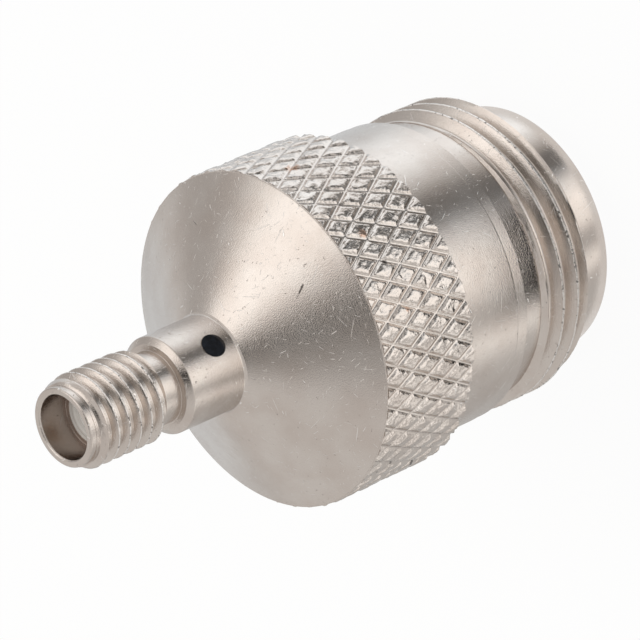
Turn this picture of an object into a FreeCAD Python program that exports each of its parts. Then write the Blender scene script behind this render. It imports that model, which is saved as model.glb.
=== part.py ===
# A coax adapter between a large threaded jack and a small threaded jack.
# It stands on the rim of the large mouth. The origin is the centre of that rim,
# Z is the axis and points to the small mouth. The side hole of the neck looks along +X.

import FreeCAD, Part
import Sketcher
import math
import os

os.makedirs("parts", exist_ok=True)
doc = FreeCAD.newDocument("adapter")

# Driving sizes, in millimetres, degrees and counts
SIZES = [
    # overall length, rim to rim
    ("full_length", 31.13),
    # large jack: 5/8-24 thread, plain lip in front of it
    ("large_thread_radius", 7.9375),
    ("large_thread_root", 7.33),
    ("large_pitch", 1.058333),
    ("large_root_flat", 0.225),
    ("large_lip_radius", 6.63),
    ("large_lip_length", 2.1),
    ("large_lip_bevel", 0.15),
    ("large_lead_radius", 7.1),
    ("large_thread_end", 5.95),
    ("large_thread_bevel", 0.12),
    ("large_relief_radius", 7.3),
    ("large_cut_start", 1.173),
    ("large_cut_height", 5.18),
    ("groove_reach", 0.07),
    ("large_bore", 4.05),
    ("large_bore_bevel", 0.3),
    # collar between the large thread and the knurl
    ("collar_radius", 7.96),
    ("collar_taper_start", 6.81),
    ("collar_taper_end", 7.76),
    ("collar_taper_radius", 7.37),
    # knurl: two crossed sets of grooves, flat tops between them
    ("knurl_start", 12.02),
    ("knurl_end", 17.91),
    ("knurl_radius", 8.76),
    ("knurl_root", 8.6),
    ("knurl_count", 47),
    ("knurl_rows", 6),
    ("knurl_row_step", 1.007),
    ("knurl_flat", 0.6),
    ("knurl_turn", 6.81),
    ("knurl_core", 8.36),
    ("knurl_inner", 7.7),
    ("knurl_overlap", 0.06),
    ("knurl_trim_margin", 0.5),
    # cone and neck
    ("cone_rim_radius", 8.7),
    ("cone_rim", 17.97),
    ("cone_land", 0.12),
    ("cone_foot", 21.42),
    ("neck_radius", 2.5),
    ("neck_corner", 0.1),
    ("neck_front", 25.1),
    ("neck_bevel_long", 0.25),
    ("neck_bevel_deep", 0.33),
    # small jack: 10-36 thread, short lip in front of it
    ("small_relief_radius", 1.85),
    ("small_thread_start", 26.3),
    ("small_thread_radius", 2.38),
    ("small_thread_root", 2.035),
    ("small_pitch", 0.705556),
    ("small_root_flat", 0.18),
    ("small_thread_bevel", 0.15),
    ("small_taper_start", 30.2),
    ("small_lead_radius", 2.1),
    ("small_lip_length", 0.36),
    ("small_lip_radius", 2.02),
    ("small_lip_bevel", 0.06),
    ("small_cut_start", 25.84),
    ("small_cut_height", 5.9),
    ("small_bore", 1.64),
    ("small_bore_bevel", 0.08),
    ("small_bore_depth", 1.68),
    # inside, from the large mouth to the small one
    ("bushing_start", 9.1),
    ("bushing_end", 13.0),
    ("line_bore", 3.5),
    ("bushing_bevel", 0.2),
    ("bead_end", 15.0),
    ("line_end", 17.0),
    ("insulator_radius", 1.4),
    # centre contact
    ("contact_tip", 5.0),
    ("contact_radius", 1.52),
    ("contact_hole", 0.82),
    ("contact_hole_depth", 4.0),
    ("contact_slot", 0.4),
    ("contact_slot_length", 3.6),
    ("contact_bevel", 0.2),
    ("contact_shoulder", 16.6),
    ("pin_radius", 0.43),
    ("pin_hole", 0.26),
    ("pin_hole_depth", 2.0),
    ("pin_slot", 0.12),
    ("pin_slot_length", 1.8),
    ("pin_groove_radius", 0.3),
    ("pin_groove_length", 1.5),
    ("slot_overrun", 1.0),
    # side hole and the epoxy in it
    ("side_hole_radius", 0.62),
    ("side_hole_height", 22.65),
    ("epoxy_sink", 0.1),
]

sheet = doc.addObject("Spreadsheet::Sheet", "Sizes")
for row, (name, value) in enumerate(SIZES, start=1):
    sheet.set("A%d" % row, name)
    sheet.set("B%d" % row, str(value))
    sheet.setAlias("B%d" % row, name)
doc.recompute()


def size(name):
    return float(sheet.get(name))


def linked(text):
    # every word of a formula is the name of a size in the sheet
    out = []
    for word in text.split():
        out.append("Sizes." + word if word[0].isalpha() else word)
    return " ".join(out)


def origin_plane(body, role):
    for feature in body.Origin.OriginFeatures:
        if feature.Role == role:
            return feature
    raise RuntimeError("no plane " + role)


def new_sketch(body, name, role):
    sketch = body.newObject("Sketcher::SketchObject", name)
    sketch.AttachmentSupport = (origin_plane(body, role), [""])
    sketch.MapMode = "FlatFace"
    return sketch


def value_of(text):
    # formulas are sums and differences of sizes; a size may be halved
    total = 0.0
    sign = 1.0
    words = text.split()
    for i, word in enumerate(words):
        if word in ("-", "+"):
            sign = -1.0 if word == "-" else 1.0
        elif word == "/" or (i > 0 and words[i - 1] == "/"):
            continue
        else:
            number = size(word) if word[0].isalpha() else float(word)
            if i + 2 < len(words) and words[i + 1] == "/":
                number /= float(words[i + 2])
            total += sign * number
    return total


def closed_outline(sketch, corners):
    # corners are pairs of formulas (across, along); "0" lies on an axis
    spots = [FreeCAD.Vector(value_of(a), value_of(b), 0) for a, b in corners]
    count = len(spots)
    for i in range(count):
        sketch.addGeometry(Part.LineSegment(spots[i], spots[(i + 1) % count]), False)
    for i in range(count):
        sketch.addConstraint(Sketcher.Constraint("Coincident", i, 2, (i + 1) % count, 1))
    for i, (across, along) in enumerate(corners):
        for kind, text, axis in (("DistanceX", across, -2), ("DistanceY", along, -1)):
            if text == "0":
                sketch.addConstraint(Sketcher.Constraint("PointOnObject", i, 1, axis))
                continue
            named = "%s_%d" % (kind, i)
            place = sketch.addConstraint(
                Sketcher.Constraint(kind, -1, 1, i, 1, value_of(text)))
            sketch.renameConstraint(place, named)
            sketch.setExpression("Constraints." + named, linked(text))


def turned(body, name, corners):
    sketch = new_sketch(body, name + "_outline", "XZ_Plane")
    closed_outline(sketch, corners)
    turn = body.newObject("PartDesign::Revolution", name)
    turn.Profile = sketch
    turn.ReferenceAxis = (sketch, ["V_Axis"])
    turn.Angle = 360.0
    doc.recompute()
    return turn


def slot_cut(body, name, role, corners):
    # a slot through both walls, one on each side of the axis
    sketch = new_sketch(body, name + "_outline", role)
    closed_outline(sketch, corners)
    cut = body.newObject("PartDesign::Pocket", name)
    cut.Profile = sketch
    cut.Type = "ThroughAll"
    cut.Midplane = True
    before = body.Shape.Volume
    doc.recompute()
    print(name, "removes", round(before - body.Shape.Volume, 4))
    return cut


def side_hole(body, name, depth):
    sketch = new_sketch(body, name + "_outline", "YZ_Plane")
    middle = FreeCAD.Vector(0, size("side_hole_height"), 0)
    circle = Part.Circle(middle, FreeCAD.Vector(0, 0, 1), size("side_hole_radius"))
    sketch.addGeometry(circle, False)
    sketch.addConstraint(Sketcher.Constraint("PointOnObject", 0, 3, -2))
    high = sketch.addConstraint(
        Sketcher.Constraint("DistanceY", -1, 1, 0, 3, size("side_hole_height")))
    sketch.renameConstraint(high, "height")
    wide = sketch.addConstraint(Sketcher.Constraint("Radius", 0, size("side_hole_radius")))
    sketch.renameConstraint(wide, "radius")
    sketch.setExpression("Constraints.height", linked("side_hole_height"))
    sketch.setExpression("Constraints.radius", linked("side_hole_radius"))
    cut = body.newObject("PartDesign::Pocket", name)
    cut.Profile = sketch
    cut.Type = "Length"
    cut.Length = value_of(depth)
    cut.setExpression("Length", linked(depth))
    cut.Reversed = True
    before = body.Shape.Volume
    doc.recompute()
    print(name, "removes", round(before - body.Shape.Volume, 4))
    return cut


def new_body(name):
    body = doc.addObject("PartDesign::Body", name)
    doc.recompute()
    return body


# Shell of the adapter: one turned piece
core = new_body("shell_core")
turned(core, "shell_turned", [
    ("large_bore + large_bore_bevel", "0"),
    ("large_lip_radius - large_lip_bevel", "0"),
    ("large_lip_radius", "large_lip_bevel"),
    ("large_lip_radius", "large_lip_length"),
    ("large_lead_radius", "large_lip_length"),
    ("large_thread_radius", "large_lip_length + large_thread_radius - large_lead_radius"),
    ("large_thread_radius", "large_thread_end - large_thread_bevel"),
    ("large_thread_radius - large_thread_bevel", "large_thread_end"),
    ("large_relief_radius", "large_thread_end"),
    ("large_relief_radius", "collar_taper_start"),
    ("collar_taper_radius", "collar_taper_start"),
    ("collar_radius", "collar_taper_end"),
    ("collar_radius", "knurl_start + knurl_overlap"),
    ("knurl_core", "knurl_start + knurl_overlap"),
    ("knurl_core", "cone_rim - cone_land"),
    ("cone_rim_radius", "cone_rim - cone_land"),
    ("cone_rim_radius", "cone_rim"),
    ("neck_radius + neck_corner", "cone_foot"),
    ("neck_radius", "cone_foot + neck_corner"),
    ("neck_radius", "neck_front - neck_bevel_long"),
    ("neck_radius - neck_bevel_deep", "neck_front"),
    ("small_relief_radius", "neck_front"),
    ("small_relief_radius", "small_thread_start"),
    ("small_thread_radius - small_thread_bevel", "small_thread_start"),
    ("small_thread_radius", "small_thread_start + small_thread_bevel"),
    ("small_thread_radius", "small_taper_start"),
    ("small_lead_radius", "full_length - small_lip_length"),
    ("small_lip_radius", "full_length - small_lip_length"),
    ("small_lip_radius", "full_length - small_lip_bevel"),
    ("small_lip_radius - small_lip_bevel", "full_length"),
    ("small_bore + small_bore_bevel", "full_length"),
    ("small_bore", "full_length - small_bore_bevel"),
    ("small_bore", "full_length - small_bore_depth"),
    ("insulator_radius", "full_length - small_bore_depth"),
    ("insulator_radius", "line_end"),
    ("line_bore", "line_end"),
    ("line_bore", "bead_end"),
    ("large_bore", "bead_end"),
    ("large_bore", "large_bore_bevel"),
])
side_hole(core, "shell_side_hole", "neck_radius + neck_radius")


def thread_groove(body, name, start, major, root, flat, pitch, height):
    # thread groove: flat bottom, sides at 60 degrees to each other, mouth just above the crests
    outer = size(major) + size("groove_reach")
    half_bottom = size(flat) / 2
    half_mouth = half_bottom + (outer - size(root)) * math.tan(math.radians(30))
    corners = [
        (size(root), size(start) - half_bottom),
        (size(root), size(start) + half_bottom),
        (outer, size(start) + half_mouth),
        (outer, size(start) - half_mouth),
    ]
    sketch = new_sketch(body, name + "_outline", "XZ_Plane")
    spots = [FreeCAD.Vector(a, b, 0) for a, b in corners]
    for i in range(4):
        sketch.addGeometry(Part.LineSegment(spots[i], spots[(i + 1) % 4]), False)
    for i in range(4):
        sketch.addConstraint(Sketcher.Constraint("Coincident", i, 2, (i + 1) % 4, 1))
    mouth = linked(major + " + groove_reach")
    bottom = "%s / 2" % linked(flat)
    reach = "(%s - %s) * tan(30 deg)" % (mouth, linked(root))
    formulas = [
        (linked(root), "%s - %s" % (linked(start), bottom)),
        (linked(root), "%s + %s" % (linked(start), bottom)),
        (mouth, "%s + %s + %s" % (linked(start), bottom, reach)),
        (mouth, "%s - %s - %s" % (linked(start), bottom, reach)),
    ]
    for i in range(4):
        for kind, value, formula in (("DistanceX", corners[i][0], formulas[i][0]),
                                     ("DistanceY", corners[i][1], formulas[i][1])):
            named = "%s_%d" % (kind, i)
            place = sketch.addConstraint(Sketcher.Constraint(kind, -1, 1, i, 1, value))
            sketch.renameConstraint(place, named)
            sketch.setExpression("Constraints." + named, formula)
    cut = body.newObject("PartDesign::SubtractiveHelix", name)
    cut.Profile = sketch
    cut.ReferenceAxis = (sketch, ["V_Axis"])
    cut.Mode = "pitch-height-angle"
    cut.Pitch = size(pitch)
    cut.Height = size(height)
    cut.setExpression("Pitch", linked(pitch))
    cut.setExpression("Height", linked(height))
    cut.Angle = 0.0
    cut.LeftHanded = False
    cut.Reversed = False
    before = body.Shape.Volume
    doc.recompute()
    print(name, "removes", round(before - body.Shape.Volume, 3), cut.State)
    return cut


thread_groove(core, "large_thread", "large_cut_start", "large_thread_radius",
              "large_thread_root", "large_root_flat", "large_pitch", "large_cut_height")
thread_groove(core, "small_thread", "small_cut_start", "small_thread_radius",
              "small_thread_root", "small_root_flat", "small_pitch", "small_cut_height")
print("core", core.Shape.isValid(), round(core.Shape.Volume, 2), core.Shape.BoundBox)
print("core faces", len(core.Shape.Faces))


def knurl_ring():
    # pyramids with flat tops, packed edge to edge round a ring; they start on a row of
    # groove crossings, and knurl_turn is where the second row has the middle of a pyramid
    count = int(size("knurl_count"))
    rows = int(size("knurl_rows"))
    low = size("knurl_start")
    step = size("knurl_row_step")
    half = math.pi / count
    flat = size("knurl_flat")
    top = size("knurl_radius")
    root = size("knurl_root")
    inner = size("knurl_inner")
    turn = math.radians(size("knurl_turn"))
    points = []
    places = {}

    def spot(radius, angle, along):
        key = (round(radius, 5), round(angle % (2 * math.pi), 6), round(along, 5))
        if key not in places:
            places[key] = len(points)
            points.append(FreeCAD.Vector(radius * math.cos(angle), radius * math.sin(angle), along))
        return places[key]

    triangles = []

    def quad(a, b, c, d):
        triangles.append((a, b, c))
        triangles.append((a, c, d))

    for row in range(rows + 1):
        middle = low + row * step
        for k in range(count):
            angle = turn + half * (2 * k + (row + 1) % 2)
            left = spot(root, angle - half, middle)
            right = spot(root, angle + half, middle)
            top_left = spot(top, angle - half * flat, middle)
            top_right = spot(top, angle + half * flat, middle)
            if row < rows:
                above = spot(root, angle, middle + step)
                top_above = spot(top, angle, middle + step * flat)
                triangles.append((top_left, top_right, top_above))
                quad(right, above, top_above, top_right)
                quad(above, left, top_left, top_above)
            if row > 0:
                below = spot(root, angle, middle - step)
                top_below = spot(top, angle, middle - step * flat)
                triangles.append((top_right, top_left, top_below))
                quad(left, below, top_below, top_left)
                quad(below, right, top_right, top_below)
            if row in (0, rows):
                in_left = spot(inner, angle - half, middle)
                in_right = spot(inner, angle + half, middle)
                # end face of the ring
                face = [in_left, in_right, right, top_right, top_left, left]
                for i in range(1, 5):
                    if row == 0:
                        triangles.append((face[0], face[i], face[i + 1]))
                    else:
                        triangles.append((face[0], face[i + 1], face[i]))
    # the rows at both ends are in step when the number of rows is even
    for k in range(count):
        angle = turn + half * (2 * k + 1)
        a = spot(inner, angle - half, low)
        b = spot(inner, angle + half, low)
        c = spot(inner, angle + half, low + rows * step)
        d = spot(inner, angle - half, low + rows * step)
        quad(a, d, c, b)
    shell = Part.Shape()
    shell.makeShapeFromMesh((points, triangles), 0.0001)
    solid = Part.Solid(Part.Shell(shell.Faces))
    if solid.Volume < 0:
        solid.reverse()
    return solid


ring = doc.addObject("Part::Feature", "knurl_ring")
ring.Shape = knurl_ring()
print("ring", ring.Shape.isValid(), round(ring.Shape.Volume, 3), len(ring.Shape.Faces))

# the cone's rim cuts the last row of pyramids short
trim = doc.addObject("Part::Cylinder", "knurl_trim")
trim.Radius = size("knurl_radius") + size("knurl_trim_margin")
trim.setExpression("Radius", linked("knurl_radius + knurl_trim_margin"))
trim.Height = size("knurl_end")
trim.setExpression("Height", linked("knurl_end"))
trimmed = doc.addObject("Part::Common", "knurl_trimmed")
trimmed.Base = ring
trimmed.Tool = trim
doc.recompute()
print("trimmed", trimmed.Shape.isValid(), round(trimmed.Shape.Volume, 3), len(trimmed.Shape.Faces))

shell_piece = doc.addObject("Part::MultiFuse", "body")
shell_piece.Shapes = [core, trimmed]
shell_piece.Refine = False
doc.recompute()
shell_piece.Label = "body"
print("body", shell_piece.Shape.isValid(), round(shell_piece.Shape.Volume, 2),
      len(shell_piece.Shape.Faces), len(shell_piece.Shape.Solids))

# Bushing pressed behind the large mouth
bushing = new_body("bushing")
turned(bushing, "bushing_turned", [
    ("line_bore", "bushing_start"),
    ("large_bore - bushing_bevel", "bushing_start"),
    ("large_bore", "bushing_start + bushing_bevel"),
    ("large_bore", "bushing_end"),
    ("line_bore", "bushing_end"),
])

# Bead between the bushing and the step of the bore
bead = new_body("bead")
turned(bead, "bead_turned", [
    ("contact_radius", "bushing_end"),
    ("large_bore", "bushing_end"),
    ("large_bore", "bead_end"),
    ("contact_radius", "bead_end"),
])

# Tube of the small jack, with a side hole in line with the neck's
tube = new_body("small_insulator")
turned(tube, "tube_turned", [
    ("pin_radius", "line_end"),
    ("insulator_radius", "line_end"),
    ("insulator_radius", "full_length - small_bore_depth"),
    ("pin_radius", "full_length - small_bore_depth"),
])
side_hole(tube, "tube_side_hole", "neck_radius + neck_radius")

# Centre contact: slotted socket at each end, groove at the side hole
contact = new_body("centre_contact")
turned(contact, "contact_turned", [
    ("contact_hole + contact_bevel", "contact_tip"),
    ("contact_radius - contact_bevel", "contact_tip"),
    ("contact_radius", "contact_tip + contact_bevel"),
    ("contact_radius", "contact_shoulder - contact_bevel"),
    ("contact_radius - contact_bevel", "contact_shoulder"),
    ("pin_radius", "contact_shoulder"),
    ("pin_radius", "side_hole_height - pin_groove_length / 2"),
    ("pin_groove_radius", "side_hole_height - pin_groove_length / 2"),
    ("pin_groove_radius", "side_hole_height + pin_groove_length / 2"),
    ("pin_radius", "side_hole_height + pin_groove_length / 2"),
    ("pin_radius", "full_length - small_bore_depth"),
    ("pin_hole", "full_length - small_bore_depth"),
    ("pin_hole", "full_length - small_bore_depth - pin_hole_depth"),
    ("0", "full_length - small_bore_depth - pin_hole_depth"),
    ("0", "contact_tip + contact_hole_depth"),
    ("contact_hole", "contact_tip + contact_hole_depth"),
    ("contact_hole", "contact_tip + contact_bevel"),
])
for role in ("XZ_Plane", "YZ_Plane"):
    slot_cut(contact, "large_slot_" + role[:2], role, [
        ("0 - contact_slot / 2", "contact_tip - slot_overrun"),
        ("contact_slot / 2", "contact_tip - slot_overrun"),
        ("contact_slot / 2", "contact_tip + contact_slot_length"),
        ("0 - contact_slot / 2", "contact_tip + contact_slot_length"),
    ])
    slot_cut(contact, "small_slot_" + role[:2], role, [
        ("0 - pin_slot / 2", "full_length - small_bore_depth - pin_slot_length"),
        ("pin_slot / 2", "full_length - small_bore_depth - pin_slot_length"),
        ("pin_slot / 2", "full_length - small_bore_depth + slot_overrun"),
        ("0 - pin_slot / 2", "full_length - small_bore_depth + slot_overrun"),
    ])

# Epoxy: fills the side hole from the contact's groove out to just under the neck's surface
rod = doc.addObject("Part::Cylinder", "epoxy_rod")
rod.Radius = size("side_hole_radius")
rod.setExpression("Radius", linked("side_hole_radius"))
rod.Height = size("neck_radius") - size("epoxy_sink")
rod.setExpression("Height", linked("neck_radius - epoxy_sink"))
rod.Placement = FreeCAD.Placement(FreeCAD.Vector(0, 0, size("side_hole_height")),
                                  FreeCAD.Rotation(FreeCAD.Vector(0, 1, 0), 90))
rod.setExpression("Placement.Base.z", linked("side_hole_height"))
core_rod = doc.addObject("Part::Cylinder", "epoxy_core")
core_rod.Radius = size("pin_groove_radius")
core_rod.setExpression("Radius", linked("pin_groove_radius"))
core_rod.Height = size("pin_groove_length")
core_rod.setExpression("Height", linked("pin_groove_length"))
core_rod.Placement = FreeCAD.Placement(
    FreeCAD.Vector(0, 0, size("side_hole_height") - size("pin_groove_length") / 2),
    FreeCAD.Rotation())
core_rod.setExpression("Placement.Base.z",
                       linked("side_hole_height - pin_groove_length / 2"))
epoxy = doc.addObject("Part::Cut", "epoxy_plug")
epoxy.Base = rod
epoxy.Tool = core_rod
doc.recompute()
epoxy.Label = "epoxy_plug"

pieces = {
    "body": shell_piece,
    "bushing": bushing,
    "bead": bead,
    "small_insulator": tube,
    "centre_contact": contact,
    "epoxy_plug": epoxy,
}
bad = [o.Name for o in doc.Objects if "Invalid" in o.State or "Error" in o.State]
if bad:
    raise RuntimeError("not computed: " + ", ".join(bad))
for name, piece in pieces.items():
    piece.Label = name
    shape = piece.Shape
    if shape.isNull() or not shape.isValid() or len(shape.Solids) != 1:
        raise RuntimeError("bad shape: " + name)
    shape.exportStep("parts/%s.step" % name)
    box = shape.BoundBox
    print("%-16s %9.3f mm3  x %.2f..%.2f  y %.2f..%.2f  z %.2f..%.2f" % (
        name, shape.Volume, box.XMin, box.XMax, box.YMin, box.YMax, box.ZMin, box.ZMax))
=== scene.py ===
# %% [markdown]
# # A coax adapter, dressed
# A straight adapter between a large threaded jack and a small one, turned from a brass bar,
# knurled for the fingers and plated with nickel. The frame gives its six solids in metres.
# This file gives them their finishes, and cuts the threads and the knurl in full.

# %% Load the frame
import math
import bpy
import bmesh
from mathutils import Matrix, Vector


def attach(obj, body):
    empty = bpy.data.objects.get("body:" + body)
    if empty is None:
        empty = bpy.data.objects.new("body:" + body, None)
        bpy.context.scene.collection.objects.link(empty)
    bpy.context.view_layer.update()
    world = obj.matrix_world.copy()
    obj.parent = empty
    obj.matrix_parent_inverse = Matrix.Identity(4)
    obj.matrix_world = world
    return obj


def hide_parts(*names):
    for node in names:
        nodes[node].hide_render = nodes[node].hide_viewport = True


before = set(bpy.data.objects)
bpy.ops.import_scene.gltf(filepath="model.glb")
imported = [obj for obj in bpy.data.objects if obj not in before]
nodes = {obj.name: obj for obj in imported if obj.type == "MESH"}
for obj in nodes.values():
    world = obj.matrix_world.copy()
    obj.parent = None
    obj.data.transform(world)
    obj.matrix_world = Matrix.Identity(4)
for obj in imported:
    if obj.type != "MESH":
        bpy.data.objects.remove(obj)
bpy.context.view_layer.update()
MM = 0.001
scene = bpy.context.scene
print("nodes:", sorted(nodes))

# %% [markdown]
# ## The camera
# The photograph looks down on the small mouth from 39 degrees above the horizon through a long
# lens, and is turned so that the axis lies across the picture. The axes below are worked out
# from those angles, and the place from the point of the axis that lies near the middle.

# %% Camera
VIEW_AZIMUTH = math.radians(-16.8)
VIEW_FROM_AXIS = math.radians(51.027)
VIEW_ROLL = math.radians(156.123)
VIEW_DISTANCE = 256.992
LENS = 290.32
AIM_HEIGHT, AIM_RIGHT, AIM_DOWN = 12.0, 1.382, 0.887

axis = Vector((0, 0, 1))
forward = -Vector((math.sin(VIEW_FROM_AXIS) * math.cos(VIEW_AZIMUTH),
                   math.sin(VIEW_FROM_AXIS) * math.sin(VIEW_AZIMUTH),
                   math.cos(VIEW_FROM_AXIS)))
along = (axis - axis.dot(forward) * forward).normalized()
across = forward.cross(along)
right = math.cos(VIEW_ROLL) * along - math.sin(VIEW_ROLL) * across
down = math.sin(VIEW_ROLL) * along + math.cos(VIEW_ROLL) * across
place = (AIM_HEIGHT * axis - VIEW_DISTANCE * forward
         - AIM_RIGHT * right + AIM_DOWN * down)

camera_data = bpy.data.cameras.new("camera")
camera_data.lens = LENS
camera_data.sensor_width = 36.0
camera_data.clip_start = 0.01
camera = bpy.data.objects.new("camera", camera_data)
turn = Matrix((right, -down, -forward)).transposed()
camera.matrix_world = Matrix.Translation(place * MM) @ turn.to_4x4()
scene.collection.objects.link(camera)
scene.camera = camera
scene.view_settings.view_transform = "Standard"
print("camera at mm", [round(v, 1) for v in place])


# %% [markdown]
# ## Helpers for materials
# Colours are written as on a screen, in hex, and one function turns them to the linear values
# that the shaders work in. Another adds a node with its settings and its links, so that a
# material reads as a list of what feeds what. Two small recipes are needed more than once: what
# the camera sees straight or in a mirror, and how far a point is off the axis.

# %% Colour and node helpers
MATH = "ShaderNodeMath"
VECTOR = "ShaderNodeVectorMath"


def colour(text):
    channels = [int(text[i:i + 2], 16) / 255 for i in (0, 2, 4)]
    linear = [c / 12.92 if c <= 0.04045 else ((c + 0.055) / 1.055) ** 2.4 for c in channels]
    return (*linear, 1.0)


def add(tree, kind, settings=None, *values, **inputs):
    # settings is a dict, or just the operation's name; values go to the first sockets in turn,
    # and inputs to sockets by name, or by number as i0, i1 and so on
    node = tree.nodes.new(kind)
    if isinstance(settings, str):
        settings = {"operation": settings}
    for name, value in (settings or {}).items():
        setattr(node, name, value)
    fed = list(enumerate(values))
    for key, value in inputs.items():
        fed.append((int(key[1:]) if key[1:].isdigit() else key.replace("_", " "), value))
    for which, value in fed:
        socket = node.inputs[which]
        if isinstance(value, bpy.types.NodeSocket):
            tree.links.new(value, socket)
        else:
            socket.default_value = value
    usable = [out for out in node.outputs if out.enabled]
    return usable[0] if len(usable) == 1 else node


def new_material(name):
    material = bpy.data.materials.new(name)
    material.use_nodes = True
    material.node_tree.nodes.clear()
    return material, material.node_tree


def straight_or_mirrored(tree):
    # 1 for what the camera sees straight, in a mirror or through glass, 0 for the light it gives
    path = add(tree, "ShaderNodeLightPath")
    seen = add(tree, MATH, "MAXIMUM", path.outputs["Is Camera Ray"],
               path.outputs["Is Glossy Ray"])
    return add(tree, MATH, "MAXIMUM", seen, path.outputs["Is Transmission Ray"])


def off_axis(tree, x, y):
    return add(tree, MATH, "SQRT", add(tree, MATH, "ADD", add(tree, MATH, "MULTIPLY", x, x),
                                       add(tree, MATH, "MULTIPLY", y, y)))


print("white is", colour("FFFFFF"))

# %% [markdown]
# ## Floor and light
# The adapter stands on a pale floor in a light tent. A tent is a dome of white cloth, so a metal
# object mirrors soft bright and dim patches and no lamps. Here a large soft lamp high on one side
# lights everything, the sky fills in, and the cloth and a board on the floor are there for the
# metal to mirror. Neither of them is seen by the camera or gives light.

# %% World and floor
FILL_STRENGTH, FLOOR_GLOW = 0.80, 0.93
world = bpy.data.worlds.new("studio")
scene.world = world
world.use_nodes = True
tree = world.node_tree
tree.nodes.clear()
seen = straight_or_mirrored(tree)
fill = add(tree, "ShaderNodeBackground", Color=colour("FFFDFA"), Strength=FILL_STRENGTH)
white = add(tree, "ShaderNodeBackground", Color=colour("FFFFFF"), Strength=1.0)
mixed = add(tree, "ShaderNodeMixShader", i0=seen, i1=fill, i2=white)
add(tree, "ShaderNodeOutputWorld", Surface=mixed)

floor_mesh = bpy.data.meshes.new("floor")
floor_mesh.from_pydata([(-1, -1, 0), (1, -1, 0), (1, 1, 0), (-1, 1, 0)], [], [(0, 1, 2, 3)])
floor = bpy.data.objects.new("floor", floor_mesh)
scene.collection.objects.link(floor)
material, tree = new_material("pale_floor")
paper = add(tree, "ShaderNodeBsdfDiffuse", Color=colour("F9F9F8"))
glow = add(tree, "ShaderNodeEmission", Color=colour("FFFFFF"), Strength=1.0)
part_glow = add(tree, MATH, "MULTIPLY", straight_or_mirrored(tree), FLOOR_GLOW)
mixed = add(tree, "ShaderNodeMixShader", i0=part_glow, i1=paper, i2=glow)
add(tree, "ShaderNodeOutputMaterial", Surface=mixed)
floor_mesh.materials.append(material)
print("floor and world ready")

# %% Soft lamp
LAMP_SIDE = math.radians(80)
LAMP_HEIGHT = math.radians(62)
LAMP_DISTANCE, LAMP_SIZE, LAMP_POWER = 0.5, 0.30, 0.35
lamp_data = bpy.data.lights.new("soft_lamp", "AREA")
lamp_data.shape = "DISK"
lamp_data.size = LAMP_SIZE
lamp_data.energy = LAMP_POWER
lamp_data.color = (1.0, 0.97, 0.93)
lamp = bpy.data.objects.new("soft_lamp", lamp_data)
to_lamp = Vector((math.cos(LAMP_HEIGHT) * math.cos(LAMP_SIDE),
                  math.cos(LAMP_HEIGHT) * math.sin(LAMP_SIDE), math.sin(LAMP_HEIGHT)))
lamp.matrix_world = (Matrix.Translation(to_lamp * LAMP_DISTANCE)
                     @ to_lamp.to_track_quat("Z", "Y").to_matrix().to_4x4())
scene.collection.objects.link(lamp)
lamp.visible_glossy = False
print("lamp at", [round(v, 3) for v in to_lamp * LAMP_DISTANCE])


# %% [markdown]
# ## The tent cloth and the floor board
# The cloth's brightness is a plain level with soft lobes: bright where the lamp shines through,
# dim where the opening and the seams are. Each lobe is a direction and a width. The board on the
# floor is brighter and darker by sectors, which is what the sides of the adapter mirror.

# %% Tent cloth
def only_in_mirrors(piece):
    piece.visible_camera = False
    piece.visible_diffuse = False
    piece.visible_shadow = False
    piece.visible_transmission = False
    piece.visible_volume_scatter = False


def direction(azimuth, elevation):
    a, e = math.radians(azimuth), math.radians(elevation)
    return (math.cos(e) * math.cos(a), math.cos(e) * math.sin(a), math.sin(e))


LOBES = [
    # azimuth, elevation, half width in degrees, soft edge in degrees, added brightness
    (77, 62, 12, 15, 0.90),
    (-60, 82, 12, 16, -0.36),
    (119, 24, 8, 18, -0.22),
    (-22, 66, 7, 8, -0.60),
]
TENT_RADIUS, TENT_LEVEL = 0.7, 0.76
tent_mesh = bpy.data.meshes.new("tent")
shape = bmesh.new()
bmesh.ops.create_uvsphere(shape, u_segments=48, v_segments=24, radius=TENT_RADIUS)
shape.to_mesh(tent_mesh)
shape.free()
tent = bpy.data.objects.new("tent", tent_mesh)
scene.collection.objects.link(tent)
material, tree = new_material("tent_cloth")
where = add(tree, "ShaderNodeTexCoord").outputs["Object"]
outward = add(tree, VECTOR, "NORMALIZE", where)
level = TENT_LEVEL
for azimuth, elevation, wide, soft, gain in LOBES:
    lined = add(tree, VECTOR, "DOT_PRODUCT", outward, direction(azimuth, elevation))
    lobe = add(tree, "ShaderNodeMapRange", {"interpolation_type": "SMOOTHSTEP"}, Value=lined,
               From_Min=math.cos(math.radians(wide + soft)), From_Max=math.cos(math.radians(wide)),
               To_Min=0.0, To_Max=gain)
    level = add(tree, MATH, "ADD", level, lobe)
glow = add(tree, "ShaderNodeEmission", Color=colour("FFFDFB"), Strength=level)
add(tree, "ShaderNodeOutputMaterial", Surface=glow)
tent_mesh.materials.append(material)
only_in_mirrors(tent)
print("tent lobes:", len(LOBES))

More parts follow.
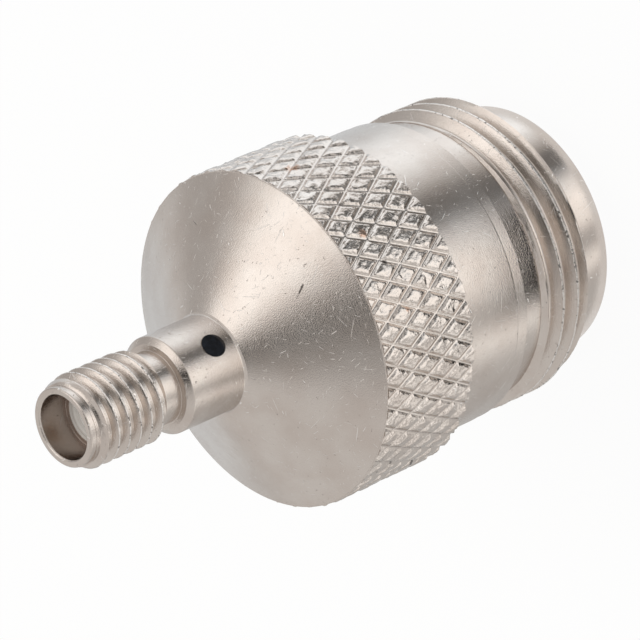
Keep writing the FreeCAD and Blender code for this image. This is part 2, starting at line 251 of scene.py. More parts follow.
# %% Board on the floor
SECTORS = [
    # side of the adapter that mirrors it, in degrees of azimuth, brightness and coolness
    (-120, 0.62, 0), (-86, 0.56, 0), (-66, 0.62, 0), (-56, 0.66, 0), (-46, 1.34, 0),
    (-37, 0.62, 0), (-32, 0.70, 0), (-26, 1.34, 0), (-15, 1.58, 0), (-6, 1.22, 0.5),
    (1, 0.52, 1), (5.5, 0.08, 1), (10, 0.12, 0.5), (16, 0.54, 0), (23, 1.02, 0.5), (33, 1.46, 1),
    (43, 1.30, 1), (53, 0.86, 1), (65, 0.75, 1), (120, 0.72, 0),
]
DARK_AZIMUTH, DARK_HALF, DARK_SOFT = -31, 15.5, 30
DARK_INNER, DARK_OUTER, DARK_EDGE, DARK_LEVEL = 0.0095, 0.0168, 0.0004, 0.02
LIT_INNER, LIT_OUTER, LIT_LEVEL = 0.0225, 0.027, 0.12
BOARD_GAIN, RAMP_SPAN = 2.0, 240
SIDE_RADIUS = 0.0075
BOARD_HEIGHT, BOARD_INNER, BOARD_OUTER, BOARD_SIDES = 0.0001, 0.0072, 0.6, 120
board_points = [(r * math.cos(math.radians(a)), r * math.sin(math.radians(a)), BOARD_HEIGHT)
                for a in range(0, 360, 360 // BOARD_SIDES) for r in (BOARD_INNER, BOARD_OUTER)]
around = 2 * BOARD_SIDES
board_faces = [(2 * k, 2 * k + 1, (2 * k + 3) % around, (2 * k + 2) % around)
               for k in range(BOARD_SIDES)]
board_mesh = bpy.data.meshes.new("board")
board_mesh.from_pydata(board_points, [], board_faces)
board = bpy.data.objects.new("board", board_mesh)
scene.collection.objects.link(board)
material, tree = new_material("floor_board")
where = add(tree, "ShaderNodeTexCoord").outputs["Object"]
x, y, _ = add(tree, "ShaderNodeSeparateXYZ", Vector=where).outputs
angle = add(tree, MATH, "ARCTAN2", y, x)
reach = off_axis(tree, x, y)
# a side that looks along one azimuth mirrors the board at up to twice that azimuth
fold = add(tree, MATH, "SUBTRACT", 2.0, add(tree, MATH, "DIVIDE", SIDE_RADIUS, reach))
side = add(tree, MATH, "DIVIDE", angle, fold)
spot = add(tree, MATH, "MULTIPLY_ADD", side, math.degrees(1) / RAMP_SPAN, 0.5)
ramp = add(tree, "ShaderNodeValToRGB", Fac=spot)
bands = ramp.color_ramp
while len(bands.elements) > 1:
    bands.elements.remove(bands.elements[-1])
for i, (azimuth, bright, cool) in enumerate(SECTORS):
    spot_here = azimuth / RAMP_SPAN + 0.5
    mark = bands.elements[0] if i == 0 else bands.elements.new(spot_here)
    mark.position = spot_here
    red = bright / BOARD_GAIN
    mark.color = (red, red * (0.985 + 0.06 * cool), red * (0.965 + 0.12 * cool), 1)
# no sector is quite dark up to 22.5 mm off the axis, which is what the collar mirrors
lit = add(tree, "ShaderNodeMapRange", Value=reach, From_Min=LIT_INNER, From_Max=LIT_OUTER,
          To_Min=LIT_LEVEL, To_Max=0.0)
shown = add(tree, VECTOR, "MAXIMUM", ramp.outputs["Color"], lit)
# a dark patch near the foot, which the large undercut mirrors
off = add(tree, MATH, "ABSOLUTE", add(tree, MATH, "SUBTRACT", angle, math.radians(DARK_AZIMUTH)))
dark = add(tree, "ShaderNodeMapRange", {"interpolation_type": "SMOOTHSTEP"}, Value=off,
           From_Min=math.radians(DARK_HALF), From_Max=math.radians(DARK_HALF + DARK_SOFT),
           To_Min=1.0, To_Max=0.0)
for edge, way in ((DARK_INNER, 1), (DARK_OUTER, -1)):
    band = add(tree, "ShaderNodeMapRange", {"interpolation_type": "SMOOTHSTEP"}, Value=reach,
               From_Min=edge - way * DARK_EDGE, From_Max=edge + way * DARK_EDGE,
               To_Min=0.0, To_Max=1.0)
    dark = add(tree, MATH, "MULTIPLY", dark, band)
strength = add(tree, MATH, "MULTIPLY_ADD", dark, BOARD_GAIN * (DARK_LEVEL - 1), BOARD_GAIN)
glow = add(tree, "ShaderNodeEmission", Color=shown, Strength=strength)
add(tree, "ShaderNodeOutputMaterial", Surface=glow)
board_mesh.materials.append(material)
only_in_mirrors(board)
print("board sectors:", len(SECTORS))


# %% [markdown]
# ## Turned walls
# A lathe sweeps an outline round the axis. Each corner of the outline gets a small round, because
# an edge that a tool leaves is never quite sharp, and plating rounds it more: that round is the
# thin bright line along every rim. A ring of points is made for each point of the outline, and
# two neighbouring rings are joined by faces, also when they have different numbers of points.

# %% Rings and the faces between them
SAME_ANGLE = 1e-4
points = []
faces = []


def ring(radius, height, count):
    first = len(points)
    for k in range(count):
        a = 2 * math.pi * k / count
        points.append((radius * math.cos(a), radius * math.sin(a), height))
    return list(range(first, first + count))


def angle_of(index):
    x, y, _ = points[index]
    return math.atan2(y, x) % (2 * math.pi)


def join(low, high):
    # walks round both rings at once and always steps on the one that is behind
    a = sorted(low, key=angle_of)
    b = sorted(high, key=angle_of)
    i = j = 0
    while i < len(a) or j < len(b):
        next_a = angle_of(a[i + 1]) if i + 1 < len(a) else angle_of(a[0]) + 2 * math.pi
        next_b = angle_of(b[j + 1]) if j + 1 < len(b) else angle_of(b[0]) + 2 * math.pi
        here_a, here_b = a[i % len(a)], b[j % len(b)]
        both = i < len(a) and j < len(b) and abs(next_a - next_b) < SAME_ANGLE
        if both:
            faces.append((here_a, a[(i + 1) % len(a)], b[(j + 1) % len(b)], here_b))
            i, j = i + 1, j + 1
        elif j >= len(b) or (i < len(a) and next_a < next_b):
            faces.append((here_a, a[(i + 1) % len(a)], here_b))
            i += 1
        else:
            faces.append((here_a, b[(j + 1) % len(b)], here_b))
            j += 1


def rounded(outline, radius, steps=3):
    # every inner corner of the outline becomes a small arc, with a guard point on each side
    # of it, so that its shading doesn't creep over the long faces next to it
    out = [outline[0]]
    for before, here, after in zip(outline, outline[1:], outline[2:]):
        p, q, r = Vector(before), Vector(here), Vector(after)
        to_p, to_r = (p - q), (r - q)
        reach = min(radius, to_p.length * 0.4, to_r.length * 0.4)
        start, end = q + to_p.normalized() * reach, q + to_r.normalized() * reach
        if to_p.length > reach * 4:
            guard = q + to_p.normalized() * reach * 1.7
            out.append((guard.x, guard.y))
        for s in range(steps + 1):
            t = s / steps
            spot = start * (1 - t) ** 2 + q * 2 * t * (1 - t) + end * t ** 2
            out.append((spot.x, spot.y))
        if to_r.length > reach * 4:
            guard = q + to_r.normalized() * reach * 1.7
            out.append((guard.x, guard.y))
    out.append(outline[-1])
    return out


def wall(outline, count, radius=0.05, start=None):
    # sweeps an outline of (radius, height) pairs and returns its first and last ring
    rings = [ring(r, z, count) for r, z in rounded(outline, radius)]
    if start is not None:
        join(start, rings[0])
    for low, high in zip(rings, rings[1:]):
        join(low, high)
    return rings[0], rings[-1]


print("ring helpers ready")

# %% [markdown]
# ## Grooves by rule
# A thread is one groove that climbs round the bar once per pitch. A knurl is two crossed sets of
# 47 such grooves, which leave small pyramids with flat tops between them. Both follow the same
# rule, so one tree of Geometry Nodes cuts them all: it finds how far a point of the blank is from
# the nearest groove, and lowers it onto the groove's side. A blank whose rows of points run along
# the grooves keeps their edges crisp.

# %% A node tree that cuts helical grooves
groove_tree = bpy.data.node_groups.new("cut_helical_grooves", "GeometryNodeTree")
face_in = groove_tree.interface
face_in.new_socket("Blank", in_out="INPUT", socket_type="NodeSocketGeometry")
sockets = {}
for name, kind, value in (
        ("Starts", "NodeSocketFloat", 1.0), ("Advance per turn", "NodeSocketFloat", 1.0),
        ("Phase", "NodeSocketFloat", 0.0), ("Groove spacing", "NodeSocketFloat", 1.0),
        ("Root radius", "NodeSocketFloat", 1.0), ("Root flat", "NodeSocketFloat", 0.1),
        ("Flank rise", "NodeSocketFloat", 1.0), ("Edge round", "NodeSocketFloat", 0.02),
        ("Roughness height", "NodeSocketFloat", 0.0), ("Roughness scale", "NodeSocketFloat", 5.0),
        ("Seed", "NodeSocketFloat", 0.0), ("Finish", "NodeSocketMaterial", None)):
    socket = face_in.new_socket(name, in_out="INPUT", socket_type=kind)
    sockets[name] = socket.identifier
    if value is not None:
        socket.default_value = value
face_in.new_socket("Cut", in_out="OUTPUT", socket_type="NodeSocketGeometry")

g = groove_tree
given = g.nodes.new("NodeGroupInput").outputs
where = add(g, "GeometryNodeInputPosition")
x, y, z = add(g, "ShaderNodeSeparateXYZ", Vector=where).outputs
turns = add(g, MATH, "MULTIPLY", add(g, MATH, "ARCTAN2", y, x), 0.5 / math.pi)
climb = add(g, MATH, "DIVIDE", z, given["Advance per turn"])
phase = add(g, MATH, "MULTIPLY", add(g, MATH, "SUBTRACT", turns, climb), given["Starts"])
phase = add(g, MATH, "ADD", phase, given["Phase"])
inside = add(g, MATH, "FRACT", phase)
middle = add(g, MATH, "ABSOLUTE", add(g, MATH, "SUBTRACT", inside, 0.5))
away = add(g, MATH, "SUBTRACT", 0.5, middle)
away = add(g, MATH, "MULTIPLY", away, given["Groove spacing"])
beyond = add(g, MATH, "SUBTRACT", away, add(g, MATH, "MULTIPLY", given["Root flat"], 0.5))
beyond = add(g, MATH, "MAXIMUM", beyond, 0.0)
cutter = add(g, MATH, "MULTIPLY_ADD", beyond, given["Flank rise"], given["Root radius"])
radius = off_axis(g, x, y)
grain = add(g, "ShaderNodeTexNoise", {"noise_dimensions": "4D"}, Vector=where,
            W=given["Seed"], Scale=given["Roughness scale"], Detail=3.0, Roughness=0.6)
grain = add(g, MATH, "MINIMUM", add(g, MATH, "SUBTRACT", grain.outputs[0], 0.55), 0.0)
rough_blank = add(g, MATH, "MULTIPLY_ADD", grain, given["Roughness height"], radius)
left = add(g, MATH, "SMOOTH_MIN", rough_blank, cutter, given["Edge round"])
ratio = add(g, MATH, "DIVIDE", left, radius)
moved = add(g, "ShaderNodeCombineXYZ", X=add(g, MATH, "MULTIPLY", x, ratio),
            Y=add(g, MATH, "MULTIPLY", y, ratio), Z=z)
cut = add(g, "GeometryNodeSetPosition", Geometry=given["Blank"], Position=moved)
real = add(g, "GeometryNodeRealizeInstances", Geometry=cut)
done = add(g, "GeometryNodeSetMaterial", Geometry=real, Material=given["Finish"])
last = g.nodes.new("NodeGroupOutput")
g.links.new(done, last.inputs[0])
print("groove tree:", len(g.nodes), "nodes,", len(sockets), "inputs")


# %% [markdown]
# ## Using the tree
# The blank becomes an object, the tree runs on it once for each set of grooves, and the result is
# read back as plain points and faces. Its first and last ring are then joined to the walls.

# %% Cut a blank
CUT_DIST, WELD, ON_EDGE = 1e-5, 0.0004, 0.002


def cut_blank(name, blank_points, blank_faces, low, high, *cuts):
    mesh = bpy.data.meshes.new(name)
    mesh.from_pydata(blank_points, [], blank_faces)
    shape = bmesh.new()
    shape.from_mesh(mesh)
    for height, way in ((low, -1), (high, 1)):
        bmesh.ops.bisect_plane(shape, geom=shape.verts[:] + shape.edges[:] + shape.faces[:],
                               dist=CUT_DIST, plane_co=(0, 0, height),
                               plane_no=(0, 0, way), clear_outer=True)
    shape.to_mesh(mesh)
    shape.free()
    blank = bpy.data.objects.new(name, mesh)
    scene.collection.objects.link(blank)
    for settings in cuts:
        modifier = blank.modifiers.new("grooves", "NODES")
        modifier.node_group = groove_tree
        for key, value in settings.items():
            modifier[sockets[key]] = value
    shape = bmesh.new()
    result = bpy.data.meshes.new_from_object(
        blank.evaluated_get(bpy.context.evaluated_depsgraph_get()))
    bpy.data.objects.remove(blank)
    shape.from_mesh(result)
    bmesh.ops.remove_doubles(shape, verts=shape.verts, dist=WELD)
    first = len(points)
    shape.verts.index_update()
    for vert in shape.verts:
        points.append(tuple(vert.co))
    for face in shape.faces:
        faces.append(tuple(first + v.index for v in face.verts))
    edge_points = {v.index for e in shape.edges if e.is_boundary for v in e.verts}
    low_ring = [first + i for i in edge_points if abs(points[first + i][2] - low) < ON_EDGE]
    high_ring = [first + i for i in edge_points if abs(points[first + i][2] - high) < ON_EDGE]
    print(name, "points", len(shape.verts), "faces", len(shape.faces),
          "rings", len(low_ring), len(high_ring))
    shape.free()
    return low_ring, high_ring


print("a blank is welded at", WELD, "mm")


# %% A blank for a thread
FLANK_ANGLE = math.radians(30)


def threaded(name, envelope, pitch, start, columns, profile, **cut):
    # rows of the blank climb with the thread; envelope gives the blank's radius at a height
    low, high = envelope[0][1], envelope[-1][1]

    def blank_radius(height):
        for (r0, z0), (r1, z1) in zip(envelope, envelope[1:]):
            if height <= z1:
                return r0 + (r1 - r0) * (height - z0) / (z1 - z0)
        return envelope[-1][0]

    rows = len(profile)
    first_turn = -int((start - low) / pitch) - 3
    turns_needed = int((high - low) / pitch) + 5
    own = []
    for n in range(turns_needed * rows):
        for k in range(columns):
            base = start + (first_turn + n // rows + profile[n % rows]) * pitch
            height = min(max(base + pitch * k / columns, low), high)
            a = 2 * math.pi * k / columns
            r = blank_radius(height)
            own.append((r * math.cos(a), r * math.sin(a), height))
    skin = []
    for n in range(turns_needed * rows - 1):
        for k in range(columns):
            if k + 1 < columns:
                corners = (n * columns + k, n * columns + k + 1,
                           (n + 1) * columns + k + 1, (n + 1) * columns + k)
            elif n + 1 + rows < turns_needed * rows:
                corners = (n * columns + k, (n + rows) * columns,
                           (n + 1 + rows) * columns, (n + 1) * columns + k)
            else:
                continue
            heights = [own[c][2] for c in corners]
            if max(heights) - min(heights) > CUT_DIST:
                skin.append(corners)
    settings = {"Starts": 1.0, "Advance per turn": pitch, "Phase": start / pitch,
                "Groove spacing": pitch, "Flank rise": 1 / math.tan(FLANK_ANGLE)}
    settings.update(cut)
    return cut_blank(name, own, skin, low, high, settings)


print("flanks lean", round(math.degrees(FLANK_ANGLE)), "degrees")

# %% [markdown]
# ## The shell
# One piece from rim to rim, built upwards along the outside and down again inside. The numbers
# are in millimetres and follow the solid's, with a finer collar edge and undercut. The large end
# needs many columns, the small end fewer. A thread's rows lie where its profile bends.

# %% Large mouth, lip and thread
LARGE, SMALL = 240, 144
LARGE_PITCH, LARGE_START = 1.058333, 1.173
THREAD_ROWS = [0.0, 0.11, 0.15, 0.18, 0.27, 0.37, 0.44, 0.47, 0.5, 0.53, 0.56, 0.63,
               0.73, 0.82, 0.85, 0.89]
mouth_ring, lip_ring = wall([(4.35, 0), (6.48, 0), (6.63, 0.15), (6.63, 2.1)], LARGE, 0.07)
low, high = threaded(
    "large_thread", [(7.1, 2.1), (7.9375, 2.9375), (7.9375, 5.6), (7.53, 5.95)],
    LARGE_PITCH, LARGE_START, LARGE, THREAD_ROWS,
    **{"Root radius": 7.33, "Root flat": 0.29, "Edge round": 0.008,
       "Roughness height": 0.10, "Roughness scale": 5.0, "Seed": 1.0})
join(lip_ring, low)
# the thread's end is bevelled, and above the undercut the collar starts with a sharp step, a
# narrow band and a fine line
_, collar_ring = wall([(7.5, 5.95), (7.5, 7.38), (7.94, 7.38), (7.92, 8.05), (7.96, 8.09),
                       (7.96, 12.02), (8.3, 12.02)], LARGE, 0.04, start=high)
print("points so far", len(points))

# %% Knurl
STARTS = 47
ROW_STEP = 1.04
CROSSING_HEIGHT, CROSSING_AZIMUTH = 13.038, 2.98
CROSSING_TURN = CROSSING_AZIMUTH / 360 * STARTS
KNURL_LOW, KNURL_HIGH, KNURL_TOP = 12.02, 17.91, 8.76
KNURL_ROWS = [0.0, 0.02, 0.1, 0.19, 0.27, 0.38, 0.5, 0.62, 0.73, 0.81, 0.9, 0.98]
FINE = len(KNURL_ROWS)


def groove_place(index):
    # the grooves of a set are whole numbers; the rows of points lie where the profile bends
    return index // FINE + KNURL_ROWS[index % FINE]


columns = STARTS * FINE
first_row = math.floor((KNURL_LOW - CROSSING_HEIGHT) / ROW_STEP * FINE) - 3
last_row = math.ceil((KNURL_HIGH - CROSSING_HEIGHT) / ROW_STEP * FINE) + 3
own = []
for n in range(first_row, last_row + 1):
    for k in range(columns):
        one, other = groove_place(k + n), groove_place(k)
        a = 2 * math.pi * (CROSSING_TURN + (one + other) / 2) / STARTS
        height = CROSSING_HEIGHT + (one - other) * ROW_STEP
        own.append((KNURL_TOP * math.cos(a), KNURL_TOP * math.sin(a), height))
skin = []
for n in range(last_row - first_row):
    for k in range(columns):
        a, b = n * columns + k, n * columns + (k + 1) % columns
        c, d = a + columns, b + columns
        skin += [(a, b, c), (b, d, c)]
knurl_cut = {"Starts": float(STARTS), "Groove spacing": 1.014, "Root radius": 8.6,
             "Root flat": 0.035, "Flank rise": 0.68, "Edge round": 0.008}
lead = 2 * ROW_STEP * STARTS
climb = CROSSING_HEIGHT / (2 * ROW_STEP)
right_cut = dict(knurl_cut, **{"Advance per turn": lead, "Phase": climb - CROSSING_TURN,
                               "Roughness height": 0.42, "Roughness scale": 1.7, "Seed": 2.0})
left_cut = dict(knurl_cut, **{"Advance per turn": -lead, "Phase": -climb - CROSSING_TURN})
low, high = cut_blank("knurl", own, skin, KNURL_LOW, KNURL_HIGH, right_cut, left_cut)
join(collar_ring, low)
print("points so far", len(points))

# %% Cone, neck and small thread
SMALL_PITCH, SMALL_START = 0.705556, 25.84
_, cone_ring = wall([(8.68, 17.925), (8.7, 17.95), (8.69, 17.976), (2.63, 21.403)], LARGE, 0.04,
                    start=high)
_, neck_ring = wall([(2.62, 21.409), (2.6, 21.42), (2.5, 21.52), (2.5, 24.85), (2.17, 25.1),
                     (1.85, 25.1), (1.85, 26.3), (1.98, 26.3)], SMALL, 0.04, start=cone_ring)
low, high = threaded(
    "small_thread", [(2.23, 26.3), (2.38, 26.45), (2.38, 30.2), (2.1, 30.77)],
    SMALL_PITCH, SMALL_START, SMALL, THREAD_ROWS,
    **{"Root radius": 2.035, "Root flat": 0.25, "Edge round": 0.004,
       "Roughness height": 0.08, "Roughness scale": 8.0, "Seed": 4.0})
join(neck_ring, low)
_, rim_ring = wall([(2.02, 30.77), (2.02, 31.07), (1.96, 31.13), (1.72, 31.13), (1.64, 31.05),
                    (1.64, 29.45), (1.4, 29.45), (1.4, 17.0)], SMALL, 0.03, start=high)
_, last_ring = wall([(1.4, 17.0), (3.5, 17.0), (3.5, 15.0), (4.05, 15.0), (4.05, 0.3), (4.35, 0)],
                    LARGE, 0.02, start=rim_ring)
join(last_ring, mouth_ring)
print("shell points", len(points), "faces", len(faces))

# %% [markdown]
# ## Closing the shell
# The points are merged, the faces are turned outwards, and the side hole is drilled with a
# Boolean, because a drill's edge on a round neck has no simple outline of its own.

# %% Make the shell's mesh
SAME_POINT = 1e-6
shell_mesh = bpy.data.meshes.new("shell")
shell_mesh.from_pydata([tuple(v * MM for v in p) for p in points], [], faces)
shape = bmesh.new()
shape.from_mesh(shell_mesh)
bmesh.ops.remove_doubles(shape, verts=shape.verts, dist=SAME_POINT)
bmesh.ops.recalc_face_normals(shape, faces=shape.faces)
open_edges = sum(1 for e in shape.edges if not e.is_manifold)
shape.to_mesh(shell_mesh)
print("edges that aren't closed:", open_edges,
      "volume mm3", round(shape.calc_volume(signed=True) / MM ** 3, 1))
shape.free()
shell = bpy.data.objects.new("shell", shell_mesh)
scene.collection.objects.link(shell)

# %% Drill the side hole
SHARP = math.radians(32)
drill_mesh = bpy.data.meshes.new("drill")
shape = bmesh.new()
# distance from the axis, radius and height of the drill's rims: it widens at the neck's surface
DRILL = [(0.8, 0.62, 22.65), (2.42, 0.62, 22.65), (2.56, 0.73, 22.75), (3.4, 0.73, 22.75)]
DRILL_SIDES = 60
rims = []
for x0, r0, z0 in DRILL:
    rims.append([shape.verts.new((x0 * MM, r0 * MM * math.cos(math.radians(a)),
                                  (z0 + r0 * math.sin(math.radians(a))) * MM))
                 for a in range(0, 360, 360 // DRILL_SIDES)])
for low_rim, high_rim in zip(rims, rims[1:]):
    for k in range(DRILL_SIDES):
        after = (k + 1) % DRILL_SIDES
        shape.faces.new((low_rim[k], low_rim[after], high_rim[after], high_rim[k]))
shape.faces.new(rims[0])
shape.faces.new(rims[-1])
bmesh.ops.recalc_face_normals(shape, faces=shape.faces)
shape.to_mesh(drill_mesh)
shape.free()
drill = bpy.data.objects.new("drill", drill_mesh)
scene.collection.objects.link(drill)
bore = shell.modifiers.new("side_hole", "BOOLEAN")
bore.operation = "DIFFERENCE"
bore.object = drill
bore.solver = "EXACT"
drilled = bpy.data.meshes.new_from_object(
    shell.evaluated_get(bpy.context.evaluated_depsgraph_get()))
shell.modifiers.clear()
shell.data = drilled
bpy.data.objects.remove(drill)
drilled.shade_smooth()
drilled.set_sharp_from_angle(angle=SHARP)
drilled.calc_loop_triangles()
print("shell triangles", len(drilled.loop_triangles))

# %% [markdown]
# ## Nickel on turned brass
# Nickel plate is a warm grey metal. The lathe leaves fine rings round the axis, which the plating
# keeps. Handling leaves short straight scratches, some bright and some dark: each is the line
# where a plane at random crosses the surface inside one cell of a Voronoi texture. The bright ones
# are painted glints, a near-white colour along the scratch. The thread crests are painted near
# white too, as painted highlights over their burrs, and inside the small mouth the nickel is
# painted darker, as painted shade. The tops of the knurl are torn, because that metal was squeezed
# up between the rolls, and on a few of them the plating is worn down to copper.

# %% Parts of the nickel
def cell_planes(tree, where, per_metre):
    # each cell gets a plane through its middle; returns how far a point is off that plane and
    # off the middle, and a random draw
    cells = add(tree, "ShaderNodeTexVoronoi", Vector=where, Scale=per_metre)
    off = add(tree, VECTOR, "SUBTRACT", where, cells.outputs["Position"])
    aim = add(tree, VECTOR, "SUBTRACT", cells.outputs["Color"], (0.5, 0.5, 0.5))
    aim = add(tree, VECTOR, "NORMALIZE", aim)
    aside = add(tree, VECTOR, "DOT_PRODUCT", off, aim)
    far = add(tree, VECTOR, "LENGTH", off)
    draw = add(tree, "ShaderNodeSeparateColor", Color=cells.outputs["Color"]).outputs[0]
    draw = add(tree, MATH, "FRACT", add(tree, MATH, "MULTIPLY", draw, 37.0))
    return aside, far, draw


def strokes(tree, where, per_metre, wide, reach, share):
    # per_metre is the number of cells, wide and reach are in metres, share is of the cells
    aside, far, draw = cell_planes(tree, where, per_metre)
    line = add(tree, "ShaderNodeMapRange", Value=add(tree, MATH, "ABSOLUTE", aside),
               From_Min=wide * 0.4, From_Max=wide, To_Min=1.0, To_Max=0.0)
    far = add(tree, MATH, "MULTIPLY", far, add(tree, MATH, "MULTIPLY_ADD", draw, 1.6 / share, 0.8))
    ends = add(tree, "ShaderNodeMapRange", Value=far, From_Min=reach * 0.4, From_Max=reach,
               To_Min=1.0, To_Max=0.0)
    kept = add(tree, MATH, "LESS_THAN", draw, share)
    return add(tree, MATH, "MULTIPLY", add(tree, MATH, "MULTIPLY", line, ends), kept)


def spots(tree, where, wobble, places):
    total = 0.0
    for x, y, z, size in places:
        far = add(tree, VECTOR, "DISTANCE", where, (x * MM, y * MM, z * MM))
        far = add(tree, MATH, "MULTIPLY_ADD", wobble, size * MM * 1.6, far)
        near = add(tree, "ShaderNodeMapRange", Value=far, From_Min=size * MM * 1.3,
                   From_Max=size * MM * 1.8, To_Min=1.0, To_Max=0.0)
        total = add(tree, MATH, "MAXIMUM", total, near)
    return total


def band(tree, value, low, high):
    above = add(tree, MATH, "GREATER_THAN", value, low * MM)
    return add(tree, MATH, "MULTIPLY", above, add(tree, MATH, "LESS_THAN", value, high * MM))


def tinted(tree, share, amount, under, text):
    share = add(tree, MATH, "MULTIPLY", share, amount)
    return add(tree, "ShaderNodeMix", {"data_type": "RGBA"}, i0=share, i6=under, i7=colour(text))


print("helpers for scratches, spots and zones ready")

# %% Spots
# x, y, z and size in millimetres
COPPER_SPOTS = [(6.96, 5.28, 15.92, 0.42), (8.70, 0.26, 16.16, 0.32), (7.9, -3.9, 15.8, 0.24)]
DARK_SPECKS = [(8.12, 3.23, 15.91, 0.20), (8.48, 2.11, 15.98, 0.22), (0.81, -8.70, 16.28, 0.22),
               (-0.63, -8.72, 13.97, 0.22), (6.44, 5.91, 17.49, 0.18),
               (8.66, 0.9, 15.7, 0.17), (8.5, -1.5, 15.9, 0.17)]
# a dark nick on the cone, as a row of small spots
DARK_SPECKS += [(5.90 + 0.56 * i / 9, -0.57 + 0.31 * i / 9, 19.54 - 0.31 * i / 9,
                 0.035 + 0.004 * i) for i in range(10)]
print("copper spots:", len(COPPER_SPOTS), "dark specks:", len(DARK_SPECKS))


# %% Zones of the shell
def zone(tree, radius, z, inner, outer, low, high):
    return add(tree, MATH, "MULTIPLY", band(tree, radius, inner, outer), band(tree, z, low, high))


def zones_of(tree, radius, z):
    undercut = zone(tree, radius, z, 7.4, 7.6, 5.96, 7.37)
    # the rolls polished the knurl, and tore the metal on top of it
    knurled = zone(tree, radius, z, 8.5, 8.8, 12.03, 17.93)
    torn = add(tree, "ShaderNodeMapRange", Value=radius, From_Min=0.00862, From_Max=0.00870,
               To_Min=0.1, To_Max=1.0)
    torn = add(tree, MATH, "MULTIPLY", torn, zone(tree, radius, z, 8.5, 8.8, 12.03, 18.0))
    # thread crests are burred, and the same mask paints them near white as a painted highlight
    crest_burr_and_highlight = add(tree, MATH, "MAXIMUM", zone(tree, radius, z, 7.89, 8.0, 2.2, 5.9),
               zone(tree, radius, z, 2.35, 2.45, 26.4, 30.3))
    # inside the small mouth the nickel is painted darker, as painted shade in the bore
    inside = zone(tree, radius, z, 0.0, 1.66, 25.0, 31.0)
    return undercut, knurled, torn, crest_burr_and_highlight, inside


print("zones: large undercut, knurl, its tops, thread crests, small mouth")


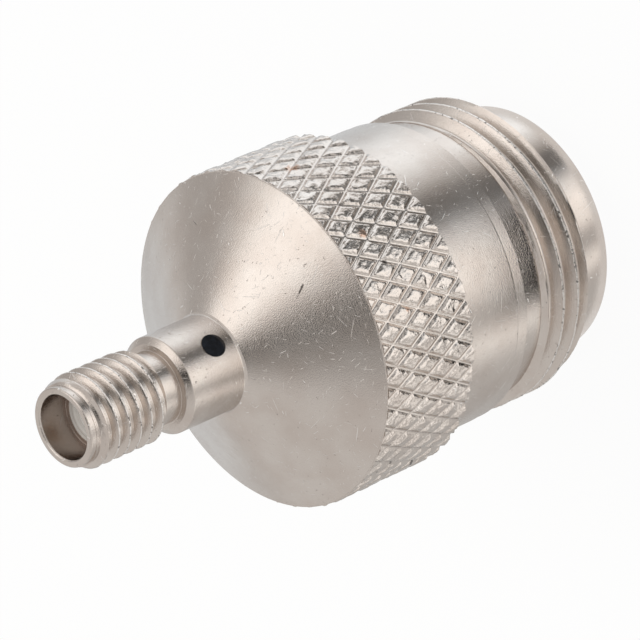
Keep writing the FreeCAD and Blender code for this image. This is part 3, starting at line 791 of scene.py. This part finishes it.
# %% Nickel
def nickel_material(name, base, dark, rough):
    material, tree = new_material(name)
    where = add(tree, "ShaderNodeTexCoord").outputs["Object"]
    x, y, z = add(tree, "ShaderNodeSeparateXYZ", Vector=where).outputs
    radius = off_axis(tree, x, y)
    undercut, knurled, torn, crest_burr_and_highlight, inside = zones_of(tree, radius, z)
    # lathe rings, about 0.04 mm apart, deeper on the large end and most in its undercut
    rings = add(tree, "ShaderNodeCombineXYZ", X=add(tree, MATH, "MULTIPLY", radius, 26000.0),
                Y=add(tree, MATH, "MULTIPLY", z, 26000.0), Z=add(tree, MATH, "MULTIPLY", x, 90.0))
    ring_noise = add(tree, "ShaderNodeTexNoise", Vector=rings, Scale=1.0, Detail=2.0).outputs[0]
    ring_depth = add(tree, "ShaderNodeMapRange", Value=z, From_Min=0.0118, From_Max=0.0122,
                     To_Min=0.14, To_Max=0.12)
    ring_depth = add(tree, MATH, "MULTIPLY_ADD", undercut, 0.1, ring_depth)
    # satin grain of the plating, about 0.1 mm, and clouds of about 2 mm
    satin = add(tree, "ShaderNodeTexNoise", Vector=where, Scale=16000.0, Detail=2.0,
                Roughness=0.6).outputs[0]
    cloud = add(tree, "ShaderNodeTexNoise", Vector=where, Scale=500.0, Detail=3.0).outputs[0]
    # the bright strokes are scratches with a painted glint: below, their colour is made near white
    bright = add(tree, MATH, "MAXIMUM", strokes(tree, where, 2700.0, 0.000010, 0.00020, 0.9),
                 strokes(tree, where, 900.0, 0.000013, 0.00050, 0.5))
    black = strokes(tree, where, 420.0, 0.000018, 0.00036, 0.5)
    wobble = add(tree, "ShaderNodeTexNoise", Vector=where, Scale=6000.0, Detail=3.0).outputs[0]
    pit = add(tree, "ShaderNodeMapRange", Value=wobble, From_Min=0.69, From_Max=0.75,
              To_Min=0.0, To_Max=1.0)
    copper = spots(tree, where, wobble, COPPER_SPOTS)
    speck = spots(tree, where, wobble, DARK_SPECKS)
    tear = add(tree, "ShaderNodeTexNoise", Vector=where, Scale=3300.0, Detail=2.0).outputs[0]
    tone = add(tree, "ShaderNodeMapRange", Value=cloud, From_Min=0.35, From_Max=0.65,
               To_Min=0.0, To_Max=1.0)
    shade = tinted(tree, tone, 1.0, colour(base), dark)
    # painted shade: inside the small mouth the nickel is made darker
    shade = tinted(tree, inside, 1.0, shade, "B0A49C")
    shade = tinted(tree, pit, 0.4, shade, "5A4F46")
    shade = tinted(tree, knurled, 0.05, shade, "F4F1EE")
    # painted highlight: the thread crests are turned near white
    shade = tinted(tree, crest_burr_and_highlight, 0.6, shade, "FAF6F2")
    flaw = add(tree, "ShaderNodeMapRange", Value=wobble, From_Min=0.58, From_Max=0.62,
               To_Min=0.0, To_Max=1.0)
    shade = tinted(tree, add(tree, MATH, "MULTIPLY", crest_burr_and_highlight, flaw), 0.7, shade, "4A423C")
    shade = tinted(tree, copper, 0.65, shade, "B98C6E")
    # painted glint: the bright scratch lines are turned near white
    shade = tinted(tree, bright, 0.6, shade, "FFFDFA")
    shade = tinted(tree, add(tree, MATH, "MAXIMUM", speck, black), 0.85, shade, "2E2824")
    roughness = add(tree, "ShaderNodeMapRange", Value=satin, From_Min=0.3, From_Max=0.7,
                    To_Min=rough - 0.04, To_Max=rough + 0.06)
    polished = add(tree, MATH, "MAXIMUM", knurled, undercut)
    roughness = add(tree, MATH, "MULTIPLY_ADD", polished, -0.11, roughness)
    bump = add(tree, "ShaderNodeBump", Strength=ring_depth, Distance=0.00002, Height=ring_noise)
    bump = add(tree, "ShaderNodeBump", Strength=0.45, Distance=0.00002, Height=satin, Normal=bump)
    bump = add(tree, "ShaderNodeBump", {"invert": True}, Strength=0.8, Distance=0.00001,
               Height=add(tree, MATH, "MAXIMUM", pit, bright), Normal=bump)
    bump = add(tree, "ShaderNodeBump", Strength=1.0, Distance=0.00007,
               Height=add(tree, MATH, "MULTIPLY", tear, torn), Normal=bump)
    bump = add(tree, "ShaderNodeBump", Strength=1.0, Distance=0.00003,
               Height=add(tree, MATH, "MULTIPLY", satin, crest_burr_and_highlight), Normal=bump)
    metal = add(tree, "ShaderNodeBsdfPrincipled", Base_Color=shade, Metallic=1.0,
                Roughness=roughness, Normal=bump)
    add(tree, "ShaderNodeOutputMaterial", Surface=metal)
    return material


nickel = nickel_material("nickel_on_turned_brass", "D0C8C1", "C8BEB6", 0.20)
drilled.materials.clear()
drilled.materials.append(nickel)
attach(shell, "root")
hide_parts("body")
print("nickel ready")


# %% [markdown]
# ## Gold, fluoropolymer and epoxy
# The contact is brass with a thin gold plate, drawn smooth. The beads are white PTFE, cut on a
# lathe and slightly see-through. The side hole holds a drop of black epoxy, which sank a little
# and set glossy.

# %% The other finishes
def dressed(name, base, other, scale, turned, **settings):
    material, tree = new_material(name)
    where = add(tree, "ShaderNodeTexCoord").outputs["Object"]
    x, y, z = add(tree, "ShaderNodeSeparateXYZ", Vector=where).outputs
    radius = off_axis(tree, x, y)
    rings = add(tree, "ShaderNodeCombineXYZ", X=add(tree, MATH, "MULTIPLY", radius, 5.0),
                Y=add(tree, MATH, "MULTIPLY", z, 5.0), Z=add(tree, MATH, "MULTIPLY", x, 0.2))
    rings = add(tree, "ShaderNodeMix", {"data_type": "VECTOR"}, i0=turned, i4=where, i5=rings)
    grain = add(tree, "ShaderNodeTexNoise", Vector=rings, Scale=scale, Detail=4.0).outputs[0]
    grain = add(tree, "ShaderNodeMapRange", Value=grain, From_Min=0.35, From_Max=0.65,
                To_Min=0.0, To_Max=1.0)
    shade = add(tree, "ShaderNodeMix", {"data_type": "RGBA"}, i0=grain, i6=colour(base),
                i7=colour(other))
    relief = add(tree, "ShaderNodeBump", Strength=0.15, Distance=0.00002, Height=grain)
    skin = add(tree, "ShaderNodeBsdfPrincipled", Base_Color=shade, Normal=relief, **settings)
    add(tree, "ShaderNodeOutputMaterial", Surface=skin)
    return material


gold = dressed("gold_on_brass", "E8B45C", "D89E44", 3000.0, 1.0, Metallic=1.0, Roughness=0.2)
ptfe = dressed("ptfe_turned", "F2EFEA", "C9C4BE", 2500.0, 1.0, Roughness=0.45, IOR=1.38)
epoxy = dressed("epoxy_black", "101217", "1D2129", 4000.0, 0.0, Roughness=0.15, IOR=1.55)
for node_name, finish in (("centre_contact", gold), ("bead", ptfe), ("small_insulator", ptfe),
                          ("epoxy_plug", epoxy), ("bushing", nickel)):
    mesh = nodes[node_name].data
    for i in range(len(mesh.materials)):
        mesh.materials[i] = finish
    if not mesh.materials:
        mesh.materials.append(finish)
print("finishes set")
